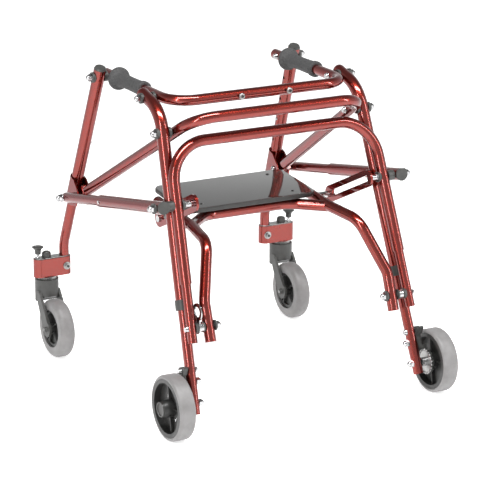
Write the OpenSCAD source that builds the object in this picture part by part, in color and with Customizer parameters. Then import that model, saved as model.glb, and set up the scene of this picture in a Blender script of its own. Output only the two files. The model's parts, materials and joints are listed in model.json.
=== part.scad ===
// Posterior walker: a folding frame that stands behind its user.
// +X is the user's right, +Y is forward (the open side), +Z is up, in millimetres.

/* [Tubes] */
// Outer diameter of the uprights, front legs and side bars
tube_d = 25; // [24:0.2:27]
// Wall of the uprights, front legs and side bars
tube_wall = 2.2; // [1.8:0.1:2.6]
// Outer diameter of the lower and middle bars
bar_d = 22.4; // [21:0.2:24]
// Wall of the lower and middle bars
bar_wall = 1.8; // [1.4:0.1:2.4]
// Outer diameter of the handle bar
handle_d = 21; // [20:0.5:23]
// Outer diameter of the seat's tubes
seat_tube_d = 22; // [20:0.5:24]
// Wall of the telescoping inner tubes
inner_wall = 2.4; // [1.8:0.1:3]

/* [Rear frame] */
// Lean of the rear frame, in degrees
rear_lean = 20; // [18:0.5:22]
// Sideways spread of the rear frame, in degrees
rear_splay = 3.2; // [2.6:0.1:3.8]
// Distance of an upright outside the seat plate's edge, at the middle bar's pivot
upright_out = 74; // [66:1:82]
// Height of the middle bar's pivot
arm_pivot_z = 546; // [536:1:556]
// Height of the side bar's rear pivot
side_pivot_z = 422; // [412:1:432]
// Height of the seat's pivot
seat_pivot_z = 203; // [198:1:208]
// Height of the lower bar's cross run
lower_cross_z = 531; // [524:1:538]
// Height of the lower bar's open ends
lower_end_z = 282; // [275:1:295]
// Height of the seat posts' lower ends
post_end_z = 177; // [172:1:184]
// Height of an upright's lower end
upright_end_z = 236; // [230:1:244]
// Rise from the middle bar's pivot to the upright's corner
corner_rise = 43; // [40:1:50]
// Run from the upright's corner to the handle's pivot
corner_run = 57; // [50:1:64]
// Slope of the upright's top end, in degrees
top_slope = 14; // [10:1:18]
// Bend radius of the uprights
upright_bend_r = 75; // [60:1:80]
// Bend radius of the lower bar
lower_bend_r = 78; // [60:1:100]

/* [Handle] */
// Distance between the handle's pivot and the leg's pivot
handle_reach = 205.5; // [195:0.5:215]
// Distance from the handle's pivot back to the cross run
handle_back = 60; // [54:1:70]
// Bend radius of the handle bar
handle_bend_r = 50; // [40:1:54]
// Handle bar's length past the leg's pivot
handle_tip = 22; // [16:1:24]
// Diameter of a grip
grip_d = 28; // [26:0.5:32]
// Length of a grip
grip_l = 118; // [110:1:130]
// Diameter of a grip's flange
grip_flange_d = 46; // [38:1:48]
// Distance between the two screws in the cross run
handle_screw_gap = 105; // [90:1:120]

/* [Middle bar] */
// Length of the middle bar's arms behind their pivots
arm_tail = 70; // [64:1:76]
// Bend radius of the middle bar
arm_bend_r = 55; // [45:1:60]

/* [Front legs] */
// Forward lean of the front legs, in degrees
leg_lean = 20.5; // [19:0.5:22]
// Sideways spread of the front legs, in degrees
leg_splay = 2.4; // [1.8:0.1:3]
// Forward reach of a foot from the leg's pivot
foot_reach = 140.5; // [130:0.5:150]
// Length of a leg above its pivot
leg_above = 22; // [18:1:26]
// Distance from the leg's pivot down to the bracket's bolt
bracket_drop = 266; // [258:1:274]
// Distance from the leg's axis back to the bracket's bolt
bracket_back = 26; // [24:0.5:28]
// Bend radius of the lower legs
foot_bend_r = 60; // [50:1:80]
// Distance between two holes in a leg
hole_pitch = 25.4; // [24:0.2:27]
// Number of holes above the snap button
holes_above = 4; // [2:1:4]
// Number of holes below the snap button
holes_below = 3; // [1:1:3]
// Distance from the leg's pivot down to the snap button
leg_button_drop = 156; // [150:1:162]

/* [Casters] */
// Diameter of a caster wheel
caster_d = 120; // [112:1:124]
// Width of a caster wheel
caster_w = 32; // [28:1:34]
// Distance of a caster's swivel from its leg
caster_offset = 40; // [38:0.5:42]
// Trail of a caster
caster_trail = 47; // [42:1:50]
// Bottom of the caster bracket above the floor
caster_bracket_z = 160; // [156:1:166]
// Height of the caster bracket
caster_bracket_h = 38; // [32:1:42]
// Depth of the caster bracket
caster_bracket_w = 27; // [26:0.5:30]

/* [Rear wheels] */
// Diameter of a rear wheel
wheel_d = 127; // [120:1:130]
// Width of a rear wheel
wheel_w = 33; // [30:1:36]
// Distance from a wheel leg's axis to the wheel's inner face
wheel_offset = 26.5; // [26:0.5:32]
// Number of ratchet teeth
ratchet_teeth = 22; // [16:2:26]

/* [Side bars] */
// Distance from the rear pivot to the outer tube's front end
side_bar_l = 258; // [245:1:270]
// Length of a side bar behind its pivot
side_bar_tail = 12; // [10:0.5:16]

/* [Seat] */
// Width of the seat plate
seat_w = 294; // [286:1:306]
// Depth of the seat plate
seat_l = 147; // [130:1:155]
// Thickness of the seat plate
seat_t = 10; // [8:0.5:12]
// Slope of the seat's rails, in degrees
rail_slope = 5.5; // [4:0.5:7]
// Distance of a rail's axis outside the seat plate's edge
rail_out = 7; // [4:0.5:8]
// Height of a rail at its rear bend above the pivot
rail_rise = 140; // [134:1:146]
// Bend radius of the seat's tubes
seat_bend_r = 46; // [38:1:50]
// Thickness of a link
link_t = 5; // [4:0.5:6]
// Height of a link
link_h = 34; // [30:1:38]
// Width of a link's slot
link_slot = 11.5; // [10.5:0.5:13]

/* [Hardware] */
// Diameter of the pivot bolts
bolt_d = 8; // [7:0.5:8.5]
// Diameter of the black bushings
bushing_d = 20.6; // [18:0.2:22]
// Thickness of the black bushings
bushing_t = 3; // [2.6:0.2:3.4]
// Diameter of the domed nuts
nut_d = 13; // [12:0.5:14]
// Height of the domed nuts
nut_h = 12; // [9:0.5:12.5]
// Thickness of the bolt heads
head_t = 5; // [4:0.5:6]

/* [Hidden] */
$fn = 48;
// Overrun of every cut
over = 1;
// Running clearance between sliding or turning pieces, on the radius
run_gap = 0.05;
// Overlap of a tube's runs with its bends, and how much thinner the bends are
seam_l = 0.5;
seam_step = 0.04;
// Clearance between fixed pieces that lie beside each other
rest_gap = 0.1;
// Clearance between bodies that pass each other, and at the faces of a hinge
pass_gap = 0.4;
face_gap = 0.3;
// Clearance of a tyre on its rim
tyre_fit = 0.4;
quarter = 90;
half = 180;
full = 360;
handle_wall = 2;
leg_gap = 6;
// Clearance beside the middle bar's arms, which slant past their bushings
arm_gap = 1.4;
// Clearance between a rod's washer and the slanting cheek of its bracket
rod_gap = 1.2;
// How far bushings and nuts reach round the tube they sit on
saddle = 2.4;
nut_seat = 1;
// Bushing between the lower bar and a side bar
bar_bushing_t = 10.5;
rod_washer_t = 2;
bracket_wall = 2.5;

// Wheels
leg_end_drop = 20;

// Seat
rail_ahead = 72;
rail_flare = 14;
flare_l = 88;
rail_length = 232;
seat_gap = 17;
knee_ahead = 17;
knee_rise = 42;
seat_foot_back = 9;
seat_foot_drop = 29;
washer_t = 2;
pin_along = 148;
fork_head_d = 49;

// Rear frame
top_past = 16;
post_wall = 2;
post_in = 60;
// Collar at an upright's lower end, in which the wheel leg slides
collar_up = 13;
collar_down = 7;
tongue_t = 2.5;
dome_share = 0.86;
head_share = 0.7;
hex = 6;
washer_d = 16;
spacer_d = 13;
seat_spacer_d = 20;
// Catch plate on the left: foot, neck and eye
tongue_foot_d = 24;
tongue_w = 20;
tongue_h = 31;
tongue_eye_d = 34;
tongue_hole_d = 20;

// Handle
handle_screw_d = 6;
handle_screw_head_d = 9;
handle_screw_head_t = 3.5;
flange_t = 10;
grip_collar_d = 33;
grip_collar_l = 14;
grip_edge_r = 4;

// Middle bar
lug_l = 34;
lug_t = 14;

// Front legs
leg_cap_t = 4;
bracket_low = 30;
bracket_high = 29;
bracket_rear_low = 15;
bracket_rear_high = 13;
cheek_past = 16;
hole_d = 7;
button_d = 6.5;
button_out = 1.8;
button_travel = 1.6;
leg_plug_l = 8;
cap_share = 0.84;
leg_in = 20;
caster_screw_d = 6;

// Casters
lock_offset = 19;
lock_pin_d = 6;
stem_d = 12;
swivel_cap_d = 18;
swivel_cap_h = 11;
detent_d = 40;
detent_t = 5;
detent_teeth = 24;
detent_depth = 3;
strap_in = 4;
caster_washer_t = 1.5;
caster_head_d = 10;
caster_head_t = 4;
tooth_share = 0.5;
fork_head_h = 46;
fork_t = 5.5;
axle_boss_d = 32;
caster_axle_d = 8;
blade_top_share = 0.5;
blade_front = 4;
blade_mid_share = 0.75;
tyre_room = 5;
caster_rim_share = 0.64;
caster_hub_w = 24;
caster_boss_d = 22;
caster_edge_r = 11;
hub_dish = 4;
hub_rim_w = 7;
knob_d = 24;
knob_flange_t = 5;
knob_neck_d = 13;
knob_neck_h = 12;
knob_stem_h = 10;
knob_reach = 24;

// Side bars
side_button_back = 12;
side_cap_t = 3;
side_plug_l = 5;
side_in = 20;

// Rear wheels
wheel_leg_in = 130;
rear_axle_d = 10;
axle_sleeve_d = 18;
pawl_rise = 63;
stop_rise = 41;
screw_d = 6;
ratchet_d = 52;
ratchet_t = 6;
ratchet_depth = 4;
hub_cap_out = 10;
pawl_t = 8;
wheel_rim_share = 0.89;
wheel_boss_d = 34;
wheel_web_t = 6;
rim_wall = 8;
rear_edge_r = 6;
ratchet_share = 0.85;
pawl_hub_d = 18;
pawl_tip_w = 8;
pawl_tip_h = 7;
pawl_tab_l = 16;
pawl_tab_w = 9;
pawl_tab_t = 5;

// Seat
cross_along = 92;
cross_bow = 58;
cross_low = 2;
cross_run_share = 0.61;
seat_wall = 2;
cross_bend_r = 60;
seat_ahead = 199;
seat_edge_r = 18;
seat_screw_share = 0.7;
seat_screw_d = 5;
seat_screw_head_d = 10;
seat_screw_head_t = 2;
pin_head_d = 14;
pin_head_t = 3;
pin_sleeve_d = 13;
slot_front = 18;

// Diameters that follow the tubes
inner_d = tube_d - 2 * tube_wall - 2 * run_gap;
collar_wall = bar_wall;
post_d = bar_d - 2 * bar_wall - 2 * run_gap;
bolt_hole_d = bolt_d + 2 * run_gap;
// Places on the right side: [x, y, z]; y is measured from the seat's pivot until placed
upright_x = seat_w / 2 + upright_out;
rail_x = seat_w / 2 + rail_out;
up_dir = unit([-tan(rear_splay), tan(rear_lean), 1]);
upright_ahead = ((tube_d + bar_d) / 2 + rest_gap) / cos(rear_lean);
arm_pivot = rear_point(arm_pivot_z, upright_ahead);
corner_point = arm_pivot + corner_rise * up_dir;
top_dir = [0, cos(top_slope), sin(top_slope)];
handle_pivot = corner_point + corner_run * top_dir;
side_pivot = rear_point(side_pivot_z, 0);
seat_pivot = rear_point(seat_pivot_z, 0);
handle_x = handle_pivot.x - tube_d / 2 - bushing_t - face_gap - handle_d / 2;
leg_pivot = [handle_x + handle_d / 2 + leg_gap + tube_d / 2,
             handle_pivot.y + handle_reach, handle_pivot.z];
leg_dir = unit([tan(leg_splay), tan(leg_lean), -1]);
leg_back = unit([0, -cos(leg_lean), -sin(leg_lean)]);
foot_point = leg_pivot + foot_reach / leg_dir.y * leg_dir;
foot_end = [foot_point.x, foot_point.y, caster_bracket_z];
bracket_axis = leg_pivot + bracket_drop * leg_dir;
bracket_pivot = bracket_axis + bracket_back * leg_back;
arm_x = arm_pivot.x - tube_d / 2 - bushing_t - arm_gap - bar_d / 2;
arm_start = [arm_x, arm_pivot.y, arm_pivot.z];
arm_end = bracket_pivot;
arm_dir = unit(arm_end - arm_start);
arm_corner = arm_start - arm_tail * arm_dir;
cheek_gap = tube_d + 2 * rest_gap;
bracket_w = cheek_gap + 2 * bracket_wall;
side_x = max(side_pivot.x + bar_d / 2 + bar_bushing_t + 2 * rest_gap,
             bracket_pivot.x + bracket_w / 2 + rod_washer_t + rod_gap) + tube_d / 2;
side_rear = [side_x, side_pivot.y, side_pivot.z];
side_front = [side_x, bracket_pivot.y, bracket_pivot.z];
side_dir = unit(side_front - side_rear);

// Wheels
axle_point = rear_point(wheel_d / 2, upright_ahead);
wheel_in_x = axle_point.x + wheel_offset;
wheel_mid_x = wheel_in_x + wheel_w / 2;
wheel_leg_end = rear_point(wheel_d / 2 - leg_end_drop, upright_ahead);
swivel = [foot_point.x + caster_offset, foot_point.y, caster_bracket_z];
caster_axle_point = [swivel.x, swivel.y - caster_trail, caster_d / 2];

// Seat
rail_bend = [rail_x + rail_flare, seat_pivot.y + rail_ahead, seat_pivot.z + rail_rise];
rail_start = [rail_x, rail_bend.y + flare_l * cos(rail_slope), rail_bend.z + flare_l * sin(rail_slope)];
rail_dir = [0, cos(rail_slope), sin(rail_slope)];
rail_end = rail_start + (rail_length - flare_l) * rail_dir;
seat_leg_x = seat_pivot.x - post_d / 2 - seat_gap - seat_tube_d / 2;
seat_knee = [seat_leg_x, seat_pivot.y + knee_ahead, seat_pivot.z + knee_rise];
seat_foot = [seat_leg_x, seat_pivot.y - seat_foot_back, seat_pivot.z - seat_foot_drop];
pin_rail = rail_start + (pin_along - flare_l) * rail_dir;
link_run = side_pivot - pin_rail;
link_span = norm([link_run.y, link_run.z]);
link_turn = atan2(link_run.z, link_run.y);
// The links lie inside the sweep of the folding middle bar
link_top_z = pin_rail.z + (arm_pivot.y - pin_rail.y) * tan(link_turn) + link_h / 2;
arm_sweep_x = arm_x - bar_d / 2 + (arm_pivot.z - link_top_z) * arm_dir.x;
link_face_x = arm_sweep_x - pass_gap;
link_x = link_face_x - link_t / 2;
link_pin = [link_x, pin_rail.y, pin_rail.z];
// The part's origin lies under the middle of its length
rear_y = axle_point.y - wheel_d / 2;
front_y = swivel.y + fork_head_d / 2;
mid_y = (rear_y + front_y) / 2;

// Rear frame
upright_foot = rear_point(upright_end_z, upright_ahead);
upright_tip = handle_pivot + top_past * top_dir;
lower_end = rear_point(lower_end_z, 0);
lower_corner = rear_point(lower_cross_z, 0);
lower_path = [lower_end, lower_corner, flip(lower_corner), flip(lower_end)];
post_foot = rear_point(post_end_z, 0);
post_top = rear_point(lower_end_z + post_in, 0);
// Stack of the side bar's rear bolt, from the link outwards
side_stack_in = side_pivot.x - bar_d / 2 - bushing_t;
side_bush_out = side_x - tube_d / 2 - face_gap;
// Stack of the seat's bolt, from the post inwards
seat_bush_in = seat_pivot.x - post_d / 2 - bushing_t;
seat_spacer_out = seat_bush_in - tongue_t;
seat_side = seat_leg_x + seat_tube_d / 2 + face_gap;
seat_spacer_in = seat_side + bushing_t;
seat_nut_side = seat_leg_x - seat_tube_d / 2 - face_gap;

// Handle
handle_tip_point = [handle_x, leg_pivot.y + handle_tip, handle_pivot.z];
handle_corner = [handle_x, handle_pivot.y - handle_back, handle_pivot.z];
handle_path = [handle_tip_point, handle_corner, flip(handle_corner), flip(handle_tip_point)];
// Grips end clear of the turning leg top
leg_sweep_r = norm([leg_above, tube_d / 2]);
grip_front_y = leg_pivot.y - leg_sweep_r - over;
leg_outer_x = leg_pivot.x + tube_d / 2 + bushing_t;

// Middle bar
arm_tube_end = arm_end - lug_l * arm_dir;
arm_path = [arm_tube_end, arm_corner, flip(arm_corner), flip(arm_tube_end)];
arm_slope = atan2(arm_end.z - arm_start.z, arm_end.y - arm_start.y);

// Front legs
leg_tilt = atan(tan(leg_splay) * cos(leg_lean));
leg_tube_end = bracket_drop + bracket_low;
bracket_front = tube_d / 2 + rest_gap;
lower_leg_top = leg_pivot + (leg_button_drop - leg_in) * leg_dir;
caster_bolt_z = caster_bracket_z + caster_bracket_h / 2;

// Casters
strap_end = caster_offset + lock_offset - strap_in;
fork_top = caster_bracket_z - detent_t - face_gap;

// Side bars
side_button_at = side_bar_l - side_button_back;
side_tail_end = side_rear - side_bar_tail * side_dir;
side_rod_start = side_rear + (side_button_at - side_in) * side_dir;

// Rear wheels
wheel_leg_top = rear_point(upright_end_z + wheel_leg_in, upright_ahead);
pawl_point = axle_point + pawl_rise * up_dir;
stop_point = axle_point + stop_rise * up_dir;
ratchet_in_x = wheel_in_x - ratchet_t;
pawl_reach = pawl_rise - ratchet_d / 2 - pass_gap;
pawl_in_x = pawl_point.x + inner_d / 2 + pawl_reach * tan(rear_splay) + pass_gap;
pawl_w = ratchet_in_x + ratchet_t - pass_gap - pawl_in_x;

// Seat
seat_path = [seat_foot, seat_knee, rail_bend, rail_start, rail_end];
cross_side = rail_start + (cross_along - flare_l) * rail_dir - [0, 0, cross_low];
cross_front = [rail_x * cross_run_share, cross_side.y + cross_bow, cross_side.z];
cross_path = [cross_side, cross_front, flip(cross_front), flip(cross_side)];
seat_lift = sqrt(pow(seat_tube_d / 2, 2) - pow(rail_out, 2));
seat_mid = rail_start + (seat_ahead - flare_l) * rail_dir;

function unit(v) = v / norm(v);
function flip(p) = [-p.x, p.y, p.z];
function rear_point(z, ahead) =
  [upright_x + (arm_pivot_z - z) * tan(rear_splay), ahead + (z - seat_pivot_z) * tan(rear_lean), z];

// Puts a right-hand piece into the part's frame, on the right or mirrored to the left
module placed() {
  translate([0, -mid_y, 0]) children();
}

module on_right() {
  placed() children();
}

module on_left() {
  mirror([1, 0, 0]) placed() children();
}

module on_both() {
  on_right() children();
  on_left() children();
}

// Turns +Z along the line from p to q, with its foot at p
module along(p, q) {
  v = q - p;
  translate(p)
    rotate([0, acos(v.z / norm(v)), atan2(v.y, v.x)])
      children();
}

module rod(p, q, d) {
  along(p, q) cylinder(d = d, h = norm(q - p));
}

// A round pin along X through a point, from one x to another
module x_pin(point, x0, x1, d) {
  translate([min(x0, x1), point.y, point.z])
    rotate([0, quarter, 0])
      cylinder(d = d, h = abs(x1 - x0));
}

module x_ring(point, x0, x1, d, hole) {
  difference() {
    x_pin(point, x0, x1, d);
    x_pin(point, min(x0, x1) - over, max(x0, x1) + over, hole);
  }
}

// A hexagon with a dome, on a shank along X; way is 1 for a nut that points to +X
module dome_nut(point, x, way) {
  dome_d = nut_d * dome_share;
  base_h = nut_h - dome_d / 2;
  translate([x, point.y, point.z])
    rotate([0, way * quarter, 0]) {
      cylinder(d = nut_d / cos(half / hex), h = base_h, $fn = hex);
      translate([0, 0, base_h]) intersection() {
        sphere(d = dome_d);
        cylinder(d = nut_d, h = dome_d);
      }
    }
}

// A button head along X; way is 1 for a head that points to +X
module bolt_head(point, x, way) {
  translate([x, point.y, point.z])
    rotate([0, way * quarter, 0])
      cylinder(d1 = nut_d, d2 = nut_d * head_share, h = head_t);
}

// A tube through points, with round bends; its bore runs past each end by the lengths given
function way(points, i) = unit(points[i + 1] - points[i]);
function bend_side(points, i) =
  let (u = way(points, i), v = way(points, i + 1)) unit(v - (v * u) * u);
function bend_turn(points, i) = acos(way(points, i) * way(points, i + 1));
function cut_back(points, i, r) = r * tan(bend_turn(points, i) / 2);
function bend_roll(points, i) =
  let (u = way(points, i), v = way(points, i + 1), t = bend_turn(points, i),
       was = bend_side(points, i) * cos(t) - u * sin(t), next = bend_side(points, i + 1))
  atan2(cross(was, next) * v, was * next);

module bent_run(points, i, r, d, start_out, end_out) {
  last = len(points) - 2;
  start_cut = i > 0 ? cut_back(points, i - 1, r) : 0;
  end_cut = i < last ? cut_back(points, i, r) : 0;
  length = norm(points[i + 1] - points[i]) - start_cut - end_cut;
  before = i == 0 ? start_out : seam_l;
  after = i == last ? end_out : seam_l;
  translate([0, 0, -before]) cylinder(d = d, h = length + before + after);
  if (i < last) {
    turn = bend_turn(points, i);
    translate([r, 0, length]) {
      rotate([quarter, 0, half])
        rotate_extrude(angle = turn) translate([r, 0]) circle(d = d - 2 * seam_step);
      rotate([0, turn, 0]) translate([-r, 0, 0])
        rotate([0, 0, i < last - 1 ? bend_roll(points, i) : 0])
          bent_run(points, i + 1, r, d, start_out, end_out);
    }
  }
}

module bent_tube(points, r, d, wall, start_out, end_out) {
  az = way(points, 0);
  ax = bend_side(points, 0);
  ay = cross(az, ax);
  at = points[0];
  multmatrix([[ax.x, ay.x, az.x, at.x],
              [ax.y, ay.y, az.y, at.y],
              [ax.z, ay.z, az.z, at.z],
              [0, 0, 0, 1]])
    difference() {
      bent_run(points, 0, r, d, 0, 0);
      bent_run(points, 0, r, d - 2 * wall, start_out, end_out);
    }
}

// A round end on a tube whose axis points along dir
module dome_end(point, dir, d) {
  along(point, point + dir)
    intersection() {
      sphere(d = d);
      translate([0, 0, -seam_l]) cylinder(d = 2 * d, h = d);
    }
}

module rounded_slab(w, l, h, r) {
  linear_extrude(h) {
    square([w - 2 * r, l], center = true);
    square([w, l - 2 * r], center = true);
    for (x = [-1, 1], y = [-1, 1])
      translate([x * (w / 2 - r), y * (l / 2 - r)]) circle(r = r);
  }
}

// A ring of soft-edged section round the Z axis, centred on z = 0
module soft_ring(outer_r, inner_r, w, r) {
  start_r = inner_r - over;
  depth = outer_r - start_r;
  difference() {
    rotate_extrude() {
      translate([start_r, -w / 2]) square([depth - r, w]);
      translate([start_r, r - w / 2]) square([depth, w - 2 * r]);
      for (z = [-1, 1]) translate([outer_r - r, z * (w / 2 - r)]) circle(r = r);
    }
    cylinder(r = inner_r, h = w + over, center = true);
  }
}

// Rear frame

module upright() {
  color("crimson")
    difference() {
      union() {
        bent_tube([upright_foot, corner_point, upright_tip], upright_bend_r, tube_d, tube_wall,
                  over, -tube_wall);
        dome_end(upright_tip, top_dir, tube_d - 2 * seam_step);
      }
      x_pin(arm_pivot, arm_pivot.x - tube_d, arm_pivot.x + tube_d, bolt_d);
      x_pin(handle_pivot, handle_pivot.x - tube_d, handle_pivot.x + tube_d, bolt_d);
    }
}

module upright_left() {
  on_left() upright();
}

module upright_right() {
  on_right() upright();
}

module lower_bar() {
  color("crimson") placed()
    difference() {
      bent_tube(lower_path, lower_bend_r, bar_d, bar_wall, over, over);
      for (x = [-1, 1])
        x_pin(side_pivot, x * side_pivot.x - bar_d, x * side_pivot.x + bar_d, bolt_d);
    }
}

module seat_posts() {
  color("crimson") on_both()
    difference() {
      rod(post_foot, post_top, post_d);
      rod(post_foot - over * up_dir, post_top + over * up_dir, post_d - 2 * post_wall);
      x_pin(seat_pivot, seat_pivot.x - post_d, seat_pivot.x + post_d, bolt_d);
    }
}

module collar() {
  difference() {
    rod(upright_foot - collar_down * up_dir, upright_foot + collar_up * up_dir,
        tube_d + 2 * collar_wall);
    rod(upright_foot, upright_foot + (collar_up + over) * up_dir, tube_d);
    rod(upright_foot - (collar_down + over) * up_dir, upright_foot + over * up_dir,
        inner_d + 2 * run_gap);
  }
}

// Bushings of the rear frame, before they are cut to sit on its tubes
module frame_rings() {
  tube_seat = tube_d / 2 - saddle;
  bar_seat = bar_d / 2 - saddle;
  post_seat = post_d / 2 - saddle;
  for (pivot = [handle_pivot, arm_pivot]) {
    x_ring(pivot, pivot.x - tube_d / 2 - bushing_t, pivot.x - tube_seat, bushing_d, bolt_d);
    x_ring(pivot, pivot.x + tube_seat, pivot.x + tube_d / 2 + bushing_t, bushing_d, bolt_d);
  }
  x_ring(side_pivot, side_stack_in, side_pivot.x - bar_seat, bushing_d, bolt_d);
  x_ring(side_pivot, side_pivot.x + bar_seat, side_bush_out, bushing_d, bolt_d);
  x_ring(seat_pivot, seat_bush_in, seat_pivot.x - post_seat, bushing_d, bolt_d);
}

module frame_bushings() {
  color("dimgray") on_both() {
    collar();
    difference() {
      frame_rings();
      rod(upright_foot, corner_point, tube_d);
      rod(corner_point, upright_tip, tube_d);
      rod(lower_end, lower_corner, bar_d);
      rod(post_foot, lower_end, post_d);
    }
    x_ring(side_pivot, side_x + tube_d / 2 + face_gap, side_x + tube_d / 2 + face_gap + bushing_t,
           bushing_d, bolt_d);
    x_ring(seat_pivot, seat_side, seat_spacer_in, bushing_d, bolt_d);
    x_ring(seat_pivot, seat_nut_side - bushing_t, seat_nut_side, bushing_d, bolt_d);
  }
}

module catch_plate() {
  eye = [0, seat_pivot.y, seat_pivot.z + tongue_h];
  x_pin(seat_pivot, seat_spacer_out, seat_bush_in, tongue_foot_d);
  difference() {
    union() {
      x_pin(eye, seat_spacer_out, seat_bush_in, tongue_eye_d);
      translate([seat_spacer_out, seat_pivot.y - tongue_w / 2, seat_pivot.z])
        cube([tongue_t, tongue_w, tongue_h]);
    }
    x_pin(eye, seat_spacer_out - over, seat_bush_in + over, tongue_hole_d);
  }
}

module pivot_bolts() {
  color("silver") {
    on_both() {
      handle_in = handle_x - handle_d / 2 - face_gap;
      handle_out = handle_pivot.x + tube_d / 2 + bushing_t;
      x_pin(handle_pivot, handle_in, handle_out, bolt_d);
      bolt_head(handle_pivot, handle_in, -1);
      dome_nut(handle_pivot, handle_out, 1);

      arm_in = arm_x - bar_d / 2 - arm_gap;
      arm_out = arm_pivot.x + tube_d / 2 + bushing_t;
      x_pin(arm_pivot, arm_in, arm_out, bolt_d);
      bolt_head(arm_pivot, arm_in, -1);
      dome_nut(arm_pivot, arm_out, 1);

      side_out = side_x + tube_d / 2 + face_gap + bushing_t;
      x_pin(side_pivot, link_face_x + pass_gap, side_out, bolt_d);
      x_pin(side_pivot, link_face_x + pass_gap, side_stack_in - washer_t, spacer_d);
      x_pin(side_pivot, side_stack_in - washer_t, side_stack_in, washer_d);
      dome_nut(side_pivot, side_out, 1);

      seat_out = seat_pivot.x + post_d / 2 - nut_seat;
      x_pin(seat_pivot, seat_nut_side - bushing_t, seat_out + 2 * nut_seat, bolt_d);
      difference() {
        bolt_head(seat_pivot, seat_out, 1);
        rod(post_foot, lower_end, post_d);
      }
      x_pin(seat_pivot, seat_spacer_in, seat_spacer_out, seat_spacer_d);
      dome_nut(seat_pivot, seat_nut_side - bushing_t, -1);
    }
    on_right() x_pin(seat_pivot, seat_spacer_out, seat_bush_in, washer_d);
    on_left() catch_plate();
  }
}

// Handle

module handle_bar() {
  color("crimson") placed()
    difference() {
      bent_tube(handle_path, handle_bend_r, handle_d, handle_wall, -handle_wall, -handle_wall);
      for (x = [-1, 1]) {
        x_pin(handle_pivot, x * handle_x - handle_d, x * handle_x + handle_d, bolt_hole_d);
        x_pin(leg_pivot, x * handle_x - handle_d, x * handle_x + handle_d, bolt_d);
        translate([x * handle_screw_gap / 2, handle_corner.y, handle_corner.z])
          rotate([quarter, 0, 0]) cylinder(d = handle_screw_d, h = handle_d);
      }
    }
}

module grips() {
  color("dimgray") on_both()
    translate([handle_x, grip_front_y, handle_pivot.z])
      rotate([quarter, 0, 0])
        difference() {
          union() {
            cylinder(d = grip_d, h = grip_l);
            translate([0, 0, flange_t / 2])
              soft_ring(grip_flange_d / 2, handle_d / 2, flange_t, grip_edge_r);
            translate([0, 0, grip_l - grip_collar_l / 2])
              soft_ring(grip_collar_d / 2, handle_d / 2, grip_collar_l, grip_edge_r);
          }
          translate([0, 0, -over]) cylinder(d = handle_d, h = grip_l + 2 * over);
        }
}

module handle_fasteners() {
  color("silver") on_both() {
    head_x = handle_x - handle_d / 2;
    x_pin(leg_pivot, head_x, leg_outer_x + face_gap, bolt_d);
    bolt_head(leg_pivot, head_x, -1);
    dome_nut(leg_pivot, leg_outer_x + face_gap, 1);
    translate([handle_screw_gap / 2, handle_corner.y - handle_d / 2 + handle_wall, handle_corner.z])
      rotate([quarter, 0, 0]) {
        cylinder(d = handle_screw_d, h = handle_wall);
        translate([0, 0, handle_wall]) cylinder(d = handle_screw_head_d, h = handle_screw_head_t);
      }
  }
}

// Middle bar

// Flat ends between the brackets' cheeks
module arm_lug() {
  translate([arm_end.x - lug_t / 2, arm_end.y, arm_end.z])
    rotate([arm_slope, 0, 0]) {
      rotate([0, quarter, 0]) cylinder(d = bar_d, h = lug_t);
      translate([0, -lug_l, -bar_d / 2]) cube([lug_t, lug_l, bar_d]);
    }
}

module middle_bar() {
  color("crimson") placed()
    difference() {
      union() {
        bent_tube(arm_path, arm_bend_r, bar_d, bar_wall, -bar_wall, -bar_wall);
        arm_lug();
        mirror([1, 0, 0]) arm_lug();
      }
      for (x = [-1, 1]) {
        x_pin(arm_pivot, x * arm_x - bar_d, x * arm_x + bar_d, bolt_hole_d);
        x_pin(arm_end, x * arm_end.x - bar_d, x * arm_end.x + bar_d, bolt_hole_d);
      }
    }
}

// Front legs

// Frame with +Z up along a leg and +Y forward, at a distance below the leg's pivot
module leg_frame(drop) {
  translate(leg_pivot + drop * leg_dir)
    rotate([leg_lean, 0, 0])
      rotate([0, -leg_tilt, 0])
        children();
}

// A hole or pin on the inner side of a leg
module leg_side(drop, d, r0, r1) {
  leg_frame(drop)
    rotate([0, -quarter, 0])
      translate([0, 0, r0]) cylinder(d = d, h = r1 - r0);
}

module front_leg() {
  color("crimson")
    difference() {
      rod(leg_pivot - (leg_above - leg_cap_t) * leg_dir, leg_pivot + leg_tube_end * leg_dir, tube_d);
      rod(leg_pivot - (leg_above + over) * leg_dir, leg_pivot + (leg_tube_end + over) * leg_dir,
          tube_d - 2 * tube_wall);
      x_pin(leg_pivot, leg_pivot.x - tube_d, leg_pivot.x + tube_d, bolt_hole_d);
      leg_side(leg_button_drop, button_d + 2 * run_gap, 0, tube_d);
      for (i = [1 : holes_above]) leg_side(leg_button_drop - i * hole_pitch, hole_d, 0, tube_d);
      for (i = [1 : holes_below]) leg_side(leg_button_drop + i * hole_pitch, hole_d, 0, tube_d);
    }
}

module front_leg_left() {
  on_left() front_leg();
}

module front_leg_right() {
  on_right() front_leg();
}

module leg_cap() {
  color("dimgray") {
    leg_frame(-leg_above + leg_cap_t) {
      cylinder(d1 = tube_d, d2 = tube_d * cap_share, h = leg_cap_t);
      translate([0, 0, -leg_plug_l]) cylinder(d = tube_d - 2 * tube_wall, h = leg_plug_l);
    }
    difference() {
      union() {
        x_ring(leg_pivot, leg_pivot.x - tube_d / 2 - leg_gap + face_gap,
               leg_pivot.x - tube_d / 2 + saddle, bushing_d, bolt_hole_d);
        x_ring(leg_pivot, leg_pivot.x + tube_d / 2 - saddle, leg_outer_x, bushing_d, bolt_hole_d);
      }
      rod(leg_pivot - leg_above * leg_dir, leg_pivot + leg_above * leg_dir, tube_d);
    }
  }
}

module leg_cap_left() {
  on_left() leg_cap();
}

module leg_cap_right() {
  on_right() leg_cap();
}

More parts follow.
